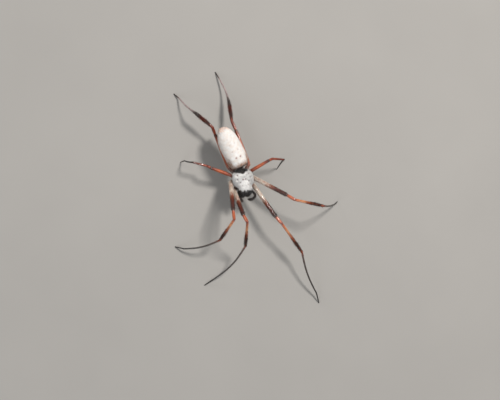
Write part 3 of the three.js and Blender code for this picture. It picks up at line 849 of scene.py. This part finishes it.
# Hair along a leg: place, density, length, lift
longLegHair = [
    (0, 0.5, 0.4, 0.3), (0.98, 0.8, 0.5, 0.2), (1.0, 1.5, 0.5, 0.16), (1.38, 1.5, 0.55, 0.2),
    (1.55, 0.5, 0.6, 0.45), (1.95, 0.5, 0.8, 0.6), (2.0, 0.12, 0.3, 0.3), (3.0, 0.15, 0.3, 0.3),
    (3.32, 0.25, 0.5, 0.4), (3.5, 0.36, 0.9, 0.6), (3.7, 0.46, 1.1, 0.62), (3.9, 0.42, 0.95, 0.5),
    (4.0, 0.3, 0.55, 0.45), (4.2, 0.5, 0.4, 0.4), (5.0, 0.5, 0.36, 0.4), (5.9, 0.9, 0.3, 0.4),
    (6.0, 0.6, 0.2, 0.3),
]
shortLegHair = [
    (0, 0.5, 0.35, 0.3), (1.0, 0.5, 0.35, 0.25), (1.5, 0.3, 0.35, 0.4), (2.0, 0.25, 0.3, 0.4),
    (3.0, 0.35, 0.35, 0.45), (3.8, 0.55, 0.4, 0.5), (4.2, 0.6, 0.36, 0.45), (6.0, 0.6, 0.22, 0.4),
]
rearLegHair = [
    (0, 0.5, 0.35, 0.3), (1.0, 0.5, 0.4, 0.25), (1.5, 0.25, 0.35, 0.35), (2.0, 0.25, 0.35, 0.4),
    (3.0, 0.3, 0.45, 0.45), (3.12, 0.4, 0.9, 0.6), (3.35, 0.6, 1.25, 0.66), (3.75, 0.6, 1.25, 0.6),
    (3.98, 0.6, 0.9, 0.5), (4.05, 0.7, 0.8, 0.5), (4.25, 0.6, 0.5, 0.4), (4.5, 0.5, 0.36, 0.4),
    (5.8, 0.7, 0.3, 0.4), (6.0, 0.5, 0.2, 0.3),
]
legPaint = [
    (longLegShell, longLegCoat, longLegHair),
    (longLegShell, longLegCoat, longLegHair),
    (shortLegShell, shortLegCoat, shortLegHair),
    (rearLegShell, rearLegCoat, rearLegHair),
]


def rampColours(stops, place):
    places = [stop[0] for stop in stops]
    colours = np.array([coatTones[stop[1]] for stop in stops])
    return np.stack([np.interp(place, places, colours[:, k]) for k in range(3)], -1)


def paintLimb(skin, place, paint, noiseSeed):
    shell, coat, hair = paint
    place = np.broadcast_to(np.asarray(place)[:, None], skin.points.shape[:2])
    awayFromJoints = (place % 1 > 0.06) * (place % 1 < 0.94)
    shifted = place + 0.03 * makeNoise(noiseSeed, 1.0)(skin.points) * awayFromJoints
    hair = np.array(hair)
    skin.values["skinColour"] = rampColours(shell, shifted)
    skin.values["coatColour"] = rampColours(coat, shifted)
    stretched = makeNoise(noiseSeed + 100, 1.7)(skin.points)
    streaks = smooth(0.5, 1.1, stretched) * smooth(0.98, 1.02, place) * smooth(1.6, 1.35, place)
    skin.values["coatColour"] = blend(skin.values["coatColour"], tone("orange")[0], 0.55 * streaks)
    for column, key in enumerate(("hairDensity", "hairLength", "hairLift"), 1):
        skin.values[key] = np.interp(shifted, hair[:, 0], hair[:, column])
    skin.values["lie"] = skin.along


# Radius along the pieces of a leg: share of its length, radius
legProfiles = {
    "coxa": [(0, 0.62), (0.4, 0.82), (0.85, 0.88), (1, 0.8)],
    "trochanter": [(0, 0.66), (0.4, 0.78), (1, 0.8)],
    "femur": [(0, 0.72), (0.05, 0.88), (0.2, 0.88), (0.45, 0.82), (0.9, 0.71), (0.97, 0.74), (1, 0.7)],
    "patella": [(0, 0.54), (0.12, 0.6), (0.5, 0.68), (0.9, 0.63), (1, 0.58)],
    "tibia": [(0, 0.48), (0.04, 0.56), (0.12, 0.55), (0.5, 0.5), (0.93, 0.43), (0.98, 0.46), (1, 0.4)],
    "metatarsus": [(0, 0.32), (0.03, 0.4), (0.1, 0.37), (0.5, 0.33), (0.95, 0.29), (1, 0.27)],
    "tarsus": [(0, 0.23), (0.08, 0.28), (0.5, 0.25), (0.9, 0.19), (1, 0.15)],
}


def legSkins(sideName, pair):
    joints = legJoints(sideName, pair)
    stout = legs["stoutness"][pair]
    around, step = legs["around"], legs["ringStep"]
    coxaEnd = joints[0] + 0.7 * (joints[1] - joints[0])
    bow = legs["bows"][sideName][pair] * sides[sideName]
    runs = [
        (joints[0], coxaEnd, "coxa", 0, (0, 0.7), {}),
        (coxaEnd, joints[1], "trochanter", 0, (0.7, 0.99), {"overlap": (0.05, 0.1)}),
        (joints[1], joints[2], "femur", 1, (0, 1), {}),
        (joints[2], joints[3], "patella", 2, (0, 1), {}),
        (joints[3], joints[4], "tibia", 3, (0, 1), {}),
        (joints[4], joints[5], "metatarsus", 4, (0, 1), {"bow": bow}),
        (joints[5], joints[6], "tarsus", 5, (0, 1), {"ends": (0.5, 0.4), "overlap": (0.05, -0.05)}),
    ]
    skins = []
    for start, end, piece, index, (low, high), options in runs:
        thin = math.sqrt(stout) if index == 0 else stout
        profile = [(share, radius * thin) for share, radius in legProfiles[piece]]
        skin = limbRun(start, end, profile, around, step, **options)
        skin.points[..., 2] = np.maximum(skin.points[..., 2], 0.005)
        paintLimb(skin, index + low + (high - low) * skin.share * 0.999, legPaint[pair], 40 + pair)
        skins.append(skin)
    return skins


# One tree grows every coat: tufts on a skin, laid along its lie, then made solid
def coatTree():
    tree = bpy.data.node_groups.new("coat", "GeometryNodeTree")
    sockets = {
        "Geometry": "NodeSocketGeometry", "Density": "NodeSocketFloat", "Seed": "NodeSocketInt",
        "Length": "NodeSocketFloat", "Spread": "NodeSocketFloat", "Tuft": "NodeSocketObject",
        "Material": "NodeSocketMaterial",
    }
    for name, kind in sockets.items():
        tree.interface.new_socket(name, in_out="INPUT", socket_type=kind)
    tree.interface.new_socket("Geometry", in_out="OUTPUT", socket_type="NodeSocketGeometry")
    board = Board(tree)
    source = tree.nodes.new("NodeGroupInput")
    inputs = {socket.name: Wire(board, socket) for socket in source.outputs if socket.name}

    def named(name, kind="FLOAT"):
        return board.add("GeometryNodeInputNamedAttribute", {"data_type": kind}, {"Name": name})

    def vectorMaths(operation, *values):
        return board.add("ShaderNodeVectorMath", {"operation": operation}, dict(enumerate(values)))

    def scaled(vector, factor):
        return board.add("ShaderNodeVectorMath", {"operation": "SCALE"}, {0: vector, "Scale": factor})

    def drawn(low, high, seed):
        reach = {2: low, 3: high, "Seed": inputs["Seed"] + seed}
        return board.add("FunctionNodeRandomValue", {"data_type": "FLOAT"}, reach, output=1)

    points = tree.nodes.new("GeometryNodeDistributePointsOnFaces")
    board.feed(points.inputs["Mesh"], inputs["Geometry"])
    board.feed(points.inputs["Density"], named("hairDensity") * inputs["Density"])
    board.feed(points.inputs["Seed"], inputs["Seed"])
    normal = Wire(board, points.outputs["Normal"])
    reach = {0: (-1, -1, -1), 1: (1, 1, 1), "Seed": inputs["Seed"] + 5}
    spread = board.add("FunctionNodeRandomValue", {"data_type": "FLOAT_VECTOR"}, reach)
    lift = scaled(normal, named("hairLift") * drawn(0.5, 1.5, 1))
    direction = vectorMaths("ADD", named("lie", "FLOAT_VECTOR"), lift)
    direction = vectorMaths("ADD", direction, scaled(spread, inputs["Spread"]))
    axes = {"primary_axis": "Z", "secondary_axis": "Y"}
    headings = {"Primary Axis": direction, "Secondary Axis": normal}
    rotation = board.add("FunctionNodeAxesToRotation", axes, headings)
    size = named("hairLength") * inputs["Length"] * drawn(0.6, 1.25, 2)
    size = board.add("ShaderNodeCombineXYZ", {}, {0: size, 1: size, 2: size})
    roots = {"Geometry": Wire(board, points.outputs["Points"]), "Name": "rootUv"}
    roots["Value"] = named("skinUv", "FLOAT_VECTOR")
    onPoints = {"data_type": "FLOAT_VECTOR", "domain": "POINT"}
    keptUv = board.add("GeometryNodeStoreNamedAttribute", onPoints, roots)
    tuft = board.add("GeometryNodeObjectInfo", {}, {"Object": inputs["Tuft"]}, output=4)
    planted = {"Points": keptUv, "Instance": tuft, "Rotation": rotation, "Scale": size}
    grown = board.add("GeometryNodeInstanceOnPoints", {}, planted)
    solid = board.add("GeometryNodeRealizeInstances", {}, {"Geometry": grown})
    patch = vectorMaths("ADD", named("rootUv", "FLOAT_VECTOR"), named("tuftUv", "FLOAT_VECTOR"))
    onCorners = {"data_type": "FLOAT2", "domain": "CORNER"}
    unwrap = {"Geometry": solid, "Name": "OFBake", "Value": patch}
    baked = board.add("GeometryNodeStoreNamedAttribute", onCorners, unwrap)
    dressed = board.add("GeometryNodeSetMaterial", {}, {"Geometry": baked, "Material": inputs["Material"]})
    target = tree.nodes.new("NodeGroupOutput")
    board.feed(target.inputs["Geometry"], dressed)
    return tree


# One solid hair of unit length: three-sided, curved, with a fine tip, and its patch of the unwrap
def tuftObject(name, width, curl, levels=2, patch=0.003):
    points, faces, uvs = [], [], []
    corners = [(-0.5, -0.2), (0.5, -0.2), (0.0, 0.35)]
    for level in range(levels):
        share = level / levels
        half = width * (1 - 0.75 * share)
        points += [(half * x, half * y - curl * share ** 2, share) for x, y in corners]
        uvs += [(patch * (0.2 + 0.3 * k), patch * share) for k in range(3)]
    points.append((0, -curl, 1))
    uvs.append((patch * 0.5, patch))
    for level in range(levels - 1):
        low, high = 3 * level, 3 * level + 3
        faces += [(low + k, low + (k + 1) % 3, high + (k + 1) % 3, high + k) for k in range(3)]
    last = 3 * (levels - 1)
    faces += [(last + k, last + (k + 1) % 3, len(points) - 1) for k in range(3)]
    faces.append((2, 1, 0))
    mesh = bpy.data.meshes.new(name)
    mesh.from_pydata(points, [], faces)
    flat = np.hstack([np.array(uvs), np.zeros((len(uvs), 1))])
    storeValues(mesh, "tuftUv", "FLOAT_VECTOR", "vector", flat)
    mesh.shade_smooth()
    return bpy.data.objects.new(name, mesh)


coatNodes = coatTree()


# Grows a coat on a skin's mesh and returns it as a plain piece
def growCoat(name, skinData, settings, material, slot):
    carrier = bpy.data.objects.new(name + "Carrier", skinData)
    bpy.context.scene.collection.objects.link(carrier)
    modifier = carrier.modifiers.new("coat", "NODES")
    modifier.node_group = coatNodes
    items = coatNodes.interface.items_tree
    sockets = {item.name: item.identifier for item in items if item.in_out == "INPUT"}
    values = {
        "Density": settings["density"] * 1e6, "Seed": settings["seed"], "Length": mm * settings["length"],
        "Spread": settings["spread"], "Tuft": settings["tuft"], "Material": material,
    }
    for key, value in values.items():
        modifier[sockets[key]] = value
    graph = bpy.context.evaluated_depsgraph_get()
    mesh = bpy.data.meshes.new_from_object(carrier.evaluated_get(graph), depsgraph=graph)
    bpy.data.objects.remove(carrier)
    mesh.name = name
    workings = ("rootUv", "tuftUv", "skinUv", "lie", "hairDensity", "hairLength", "hairLift", "skinColour")
    for extra in workings:
        if extra in mesh.attributes:
            mesh.attributes.remove(mesh.attributes[extra])
    print(name, len(mesh.polygons), "faces", [layer.name for layer in mesh.uv_layers])
    return addPiece(name, mesh, [material], slot)


shell = shellMaterial("glossyShell", 0.24, 0.16, 0.02, 0.35, 0.5)
softSkin = shellMaterial("softSkin", 0.6, 0.2, 0.03, 0.12, 0.0)
blackShell = shellMaterial("blackShell", 0.25, 0.14, 0.02, 0.2, 0.3)
silverHair = hairMaterial("silverHair", 0.5, 0.1, 0.2)
legHair = hairMaterial("legHair", 0.45, 0.3)

fineTuft = tuftObject("fineTuft", 0.11, 0.16)
bristleTuft = tuftObject("bristleTuft", 0.075, 0.14)
spineTuft = tuftObject("spineTuft", 0.06, 0.1)

carapace = carapaceSkin()
carapaceData = skinMesh("carapace", [carapace], body["headTurn"])
addPiece("carapace", carapaceData, [softSkin], "carapace_hair", "cephalothorax")
carapaceHair = {"density": 110, "seed": 3, "length": 1, "spread": 0.22, "tuft": fineTuft}
growCoat("carapaceCoat", carapaceData, carapaceHair, silverHair, "carapace_hair")
belly = abdomenSkin()
bellyData = skinMesh("abdomenSkin", [belly], body["abdomenTurn"], shift=abdomen["shift"])
addPiece("abdomenSkin", bellyData, [softSkin], "abdomen_hair", "abdomen")
abdomenHair = {"density": 44, "seed": 4, "length": 1, "spread": 0.2, "tuft": fineTuft}
growCoat("abdomenCoat", bellyData, abdomenHair, silverHair, "abdomen_hair")
print("body skins and coats done")

legPieces = ("coxa", "femur", "patella", "tibia", "foot")
legBristles = {"density": 70, "length": 1, "spread": 0.25, "tuft": bristleTuft}
legSpines = {"density": 1.3, "length": 1.9, "spread": 0.5, "tuft": spineTuft}
for sideName in sides:
    for pair in range(4):
        leg = f"leg{pair + 1}_{sideName}"
        skins = legSkins(sideName, pair)
        legData = skinMesh(leg + "_skin", skins, body["headTurn"], evenStrips(len(skins)))
        nodes = [f"{leg}_{piece}" for piece in legPieces]
        addPiece(legData.name, legData, [shell], "femur_shell", *nodes)
        growCoat(leg + "_coat", legData, {**legBristles, "seed": 10 + pair}, legHair, "tibia_brush")
        growCoat(leg + "_spines", legData, {**legSpines, "seed": 20 + pair}, legHair, "tibia_brush")
print("legs done")


# Jaws, fangs and feelers, black and glossy
jawHair = [(0, 0.8, 0.8, 0.5), (0.5, 0.8, 0.75, 0.55), (1, 0.7, 0.8, 0.6)]
feelerHair = [(0, 0.5, 0.5, 0.45), (0.5, 1.0, 0.65, 0.55), (1, 1.5, 0.6, 0.5)]
blackStops = [(0, "black"), (1, "black")]
greyStops = [(0, "grey"), (1, "grey")]


# A curve through all the points, evenly read at count places
def smoothPath(points, count):
    points = np.array(points, float)
    padded = np.vstack([2 * points[0] - points[1], points, 2 * points[-1] - points[-2]])
    places = np.linspace(0, len(points) - 1, count).clip(0, len(points) - 1 - 1e-9)
    i = places.astype(int)
    s = (places - i)[:, None]
    a, b, c, d = padded[i], padded[i + 1], padded[i + 2], padded[i + 3]
    square, cube = 2 * a - 5 * b + 4 * c - d, 3 * b - a - 3 * c + d
    return 0.5 * (2 * b + (c - a) * s + square * s ** 2 + cube * s ** 3)


# A limb along a smooth path. Grid: rings, points on each ring.
def pathSkin(points, radii, grid, hair, stops=blackStops, coat=greyStops, endRound=True):
    count, around = grid
    centres = smoothPath(points, count)
    places = np.linspace(0, 1, count)
    sizes = np.interp(places, np.linspace(0, 1, len(radii)), radii)
    if endRound:
        sizes = sizes * np.sqrt(np.clip(1 - smooth(0.9, 1.0, places) * 0.96, 0.02, 1))
    skin = Skin(tubeRings(centres, sizes, around))
    paintLimb(skin, places, (stops, coat, hair), 60)
    return skin


jaws = {
    "path": [
        [1.1, -8.9, 11.2], [1.16, -9.7, 10.5], [1.18, -10.25, 9.5], [1.16, -10.35, 8.3], [1.06, -10.2, 7.4],
    ],
    "radii": [0.75, 0.94, 0.97, 0.85, 0.62],
    "grid": (30, 24),
    "fangPath": [[1.06, -10.15, 7.45], [0.98, -10.0, 6.75], [0.7, -9.6, 6.55], [0.42, -9.05, 6.5]],
    "fangRadii": [0.4, 0.32, 0.22, 0.05],
    "fangGrid": (22, 14),
}
feelers = {
    "left": [
        [2.35, -8.5, 9.4], [3.4, -9.8, 10.3], [3.9, -11.0, 10.7], [3.65, -12.0, 10.3], [2.4, -12.75, 9.5],
        [1.0, -12.4, 8.8],
    ],
    "right": [
        [-2.4, -8.5, 9.4], [-3.0, -9.7, 10.4], [-2.8, -11.0, 10.9], [-2.2, -12.2, 10.3], [-1.6, -12.9, 9.1],
    ],
    "radii": [0.5, 0.5, 0.44, 0.5, 0.46, 0.4, 0.47, 0.48, 0.36],
    "grid": (60, 16),
}
jawBristles = {"density": 45, "seed": 31, "length": 1, "spread": 0.3, "tuft": bristleTuft}
feelerBristles = {"density": 60, "seed": 33, "length": 1, "spread": 0.3, "tuft": bristleTuft}
fangStops = [(0, "redBrown"), (1, "black")]
for sideName, side in sides.items():
    flip = np.array([side, 1, 1])
    jaw = pathSkin(np.array(jaws["path"]) * flip, jaws["radii"], jaws["grid"], jawHair)
    jawData = skinMesh(f"chelicera_{sideName}_skin", [jaw], body["headTurn"])
    addPiece(jawData.name, jawData, [blackShell], "black_shell", f"chelicera_{sideName}")
    growCoat(f"chelicera_{sideName}_coat", jawData, jawBristles, legHair, "black_shell")
    fangPath = np.array(jaws["fangPath"]) * flip
    fang = pathSkin(fangPath, jaws["fangRadii"], jaws["fangGrid"], jawHair, fangStops)
    fangData = skinMesh(f"fang_{sideName}_skin", [fang], body["headTurn"])
    addPiece(fangData.name, fangData, [blackShell], "black_shell", f"fang_{sideName}")
    feeler = pathSkin(feelers[sideName], feelers["radii"], feelers["grid"], feelerHair)
    feelerData = skinMesh(f"palp_{sideName}_skin", [feeler], body["headTurn"])
    addPiece(feelerData.name, feelerData, [blackShell], "black_shell", f"palp_{sideName}")
    growCoat(f"palp_{sideName}_coat", feelerData, feelerBristles, legHair, "black_shell")
print("jaws and feelers done")


# Breast plate: a shield between the hips
sternum = {
    "outline": [
        (-7.82, 0.72), (-7.2, 1.0), (-6.7, 1.32), (-5.2, 1.55), (-3.7, 1.25), (-2.8, 0.68), (-2.0, 0.06),
    ],
    "middle": 8.25,
    "halfHeight": 0.32,
    "grid": (46, 40),
}


def sternumSkin():
    ys, halves = np.array(sternum["outline"]).T
    count, around = sternum["grid"]
    stations = np.linspace(ys[0], ys[-1], count)
    angles = np.linspace(0, 2 * math.pi, around, endpoint=False)
    rings = []
    for y in stations:
        half = np.interp(y, ys, halves)
        thin = sternum["halfHeight"] * min(1, 0.4 + half)
        wave = 1 - 0.08 * np.abs(np.sin((y - ys[0]) * 1.75))
        rings.append(np.stack([half * wave * np.cos(angles), np.full_like(angles, y),
                               sternum["middle"] + thin * np.sin(angles)], 1))
    skin = Skin(rings)
    x, y, z = np.moveaxis(skin.points, -1, 0)
    darkBrown, cream, redBrown = tone("darkBrown", "cream", "redBrown")
    pale = gauss(np.hypot(x * 0.9, (y + 6.9) * 1.2), 0.8) + gauss(np.hypot(x, (y + 4.6) * 0.6), 0.35)
    colour = blend(blend(darkBrown, redBrown, 0.5), cream, np.clip(pale, 0, 1) * 0.8)
    skin.values["skinColour"] = colour
    skin.values["coatColour"] = blend(colour, tone("grey")[0], 0.5)
    skin.values["hairDensity"] = np.full_like(x, 0.5)
    skin.values["hairLength"] = np.full_like(x, 0.4)
    skin.values["hairLift"] = np.full_like(x, 0.5)
    skin.values["lie"] = skin.along
    return skin


sternumData = skinMesh("sternumPlate", [sternumSkin()], body["headTurn"])
addPiece("sternumPlate", sternumData, [shell], "sternum_shell", "sternum")
sternumBristles = {"density": 30, "seed": 41, "length": 1, "spread": 0.3, "tuft": bristleTuft}
growCoat("sternumCoat", sternumData, sternumBristles, legHair, "sternum_shell")

# Waist: a ringed stalk into the abdomen
waistStalk = {
    "path": [[0, -0.5, 10.5], [0, 0.9, 10.5], [0, 1.9, 10.7]],
    "radii": [0.62, 0.52, 0.58],
    "rings": 0.05,
    "grid": (46, 22),
}
stalkHair = [(0, 1, 1.5, 0.9), (1, 1, 1.5, 0.9)]
count, around = waistStalk["grid"]
stalk = pathSkin(waistStalk["path"], waistStalk["radii"], (count, around), stalkHair, endRound=False)
stalk.push(waistStalk["rings"] * np.sin(np.linspace(0, 30, count))[:, None] * np.ones(around))
stalkData = skinMesh("waistStalk", [stalk], body["headTurn"])
addPiece("waistStalk", stalkData, [blackShell], "waist_skin", "pedicel")
waistBristles = {"density": 90, "seed": 42, "length": 1, "spread": 0.5, "tuft": bristleTuft}
growCoat("waistCoat", stalkData, waistBristles, legHair, "waist_skin")

# Six spinnerets on a low mound
spinnerets = {
    "mound": (0, 17.2, 9.15),
    "moundRadius": 1.15,
    "moundGrid": (18, 26),
    "cones": [(0.75, 0.55, 0.4), (0.6, 1.25, 0.32), (0.3, 0.9, 0.28)],
    "coneProfile": [(0, 1), (0.55, 0.92), (0.6, 0.8), (0.95, 0.6), (1, 0.5)],
    "shell": [(0, "rust"), (1, "rust")],
    "coat": [(0, "darkBrown"), (1, "darkBrown")],
    "hair": [(0, 0.6, 0.35, 0.5), (1, 0.6, 0.35, 0.5)],
}


def spinneretSkins():
    mound = np.array(spinnerets["mound"])
    count, around = spinnerets["moundGrid"]
    polar = np.linspace(0.12, math.pi - 0.12, count)
    centres = mound + np.array([[0, 0, 1]]) * spinnerets["moundRadius"] * np.cos(polar)[:, None]
    skins = [Skin(tubeRings(centres, spinnerets["moundRadius"] * np.sin(polar), around))]
    for x, y, radius in spinnerets["cones"]:
        for side in sides.values():
            root = mound + np.array([side * x * 0.7, y * 0.6, -0.3])
            tip = root + np.array([side * x * 0.25, 0.75, -1.5])
            profile = [(share, radius * size) for share, size in spinnerets["coneProfile"]]
            skins.append(limbRun(root, tip, profile, 14, 0.09, overlap=(0, -0.02)))
    paint = (spinnerets["shell"], spinnerets["coat"], spinnerets["hair"])
    for skin in skins:
        paintLimb(skin, np.zeros(skin.points.shape[0]), paint, 70)
    return skins


groupSkins, turn = spinneretSkins(), body["abdomenTurn"]
strips = evenStrips(len(groupSkins))
spinneretData = skinMesh("spinneretGroup", groupSkins, turn, strips, abdomen["shift"])
addPiece("spinneretGroup", spinneretData, [shell], "spinneret_shell", "spinnerets")
spinneretBristles = {"density": 80, "seed": 43, "length": 1, "spread": 0.3, "tuft": bristleTuft}
growCoat("spinneretCoat", spinneretData, spinneretBristles, legHair, "spinneret_shell")
print("breast plate, waist and spinnerets done")


# Eight wet black eyes
eyes = {
    "rows": 16,
    "columns": 24,
    "bulge": 1.12,
    "colour": (0.008, 0.006, 0.005, 1),
    "roughness": 0.05,
    "gloss": 0.6,
}


def eyeMaterial():
    material, board = newMaterial("wetEye")
    finishMaterial(board, eyes["colour"], eyes["roughness"], coat=eyes["gloss"])
    return material


def addEyes():
    points, faces = [], []
    rows, columns = eyes["rows"], eyes["columns"]
    for centre, radius in eyesSeen.values():
        start = len(points)
        for i in range(1, rows):
            polar = math.pi * i / rows
            for k in range(columns):
                angle = 2 * math.pi * k / columns
                across, height = math.sin(polar), math.cos(polar)
                direction = np.array([across * math.cos(angle), across * math.sin(angle), height])
                points.append(tuple(centre + direction * radius * eyes["bulge"]))
        top, bottom = len(points), len(points) + 1
        pole = np.array([0, 0, radius * eyes["bulge"]])
        points += [tuple(centre + pole), tuple(centre - pole)]
        for i in range(rows - 2):
            for k in range(columns):
                a, b = start + i * columns + k, start + i * columns + (k + 1) % columns
                faces.append((a, a + columns, b + columns, b))
        lastRow = start + (rows - 2) * columns
        for k in range(columns):
            after = (k + 1) % columns
            faces.append((top, start + k, start + after))
            faces.append((bottom, lastRow + after, lastRow + k))
    mesh = bpy.data.meshes.new("eyes")
    mesh.from_pydata(points, [], faces)
    mesh.shade_smooth()
    addPiece("eyes", mesh, [eyeMaterial()], "eye_gloss", *eyeNodes)


addEyes()
print("eyes done")
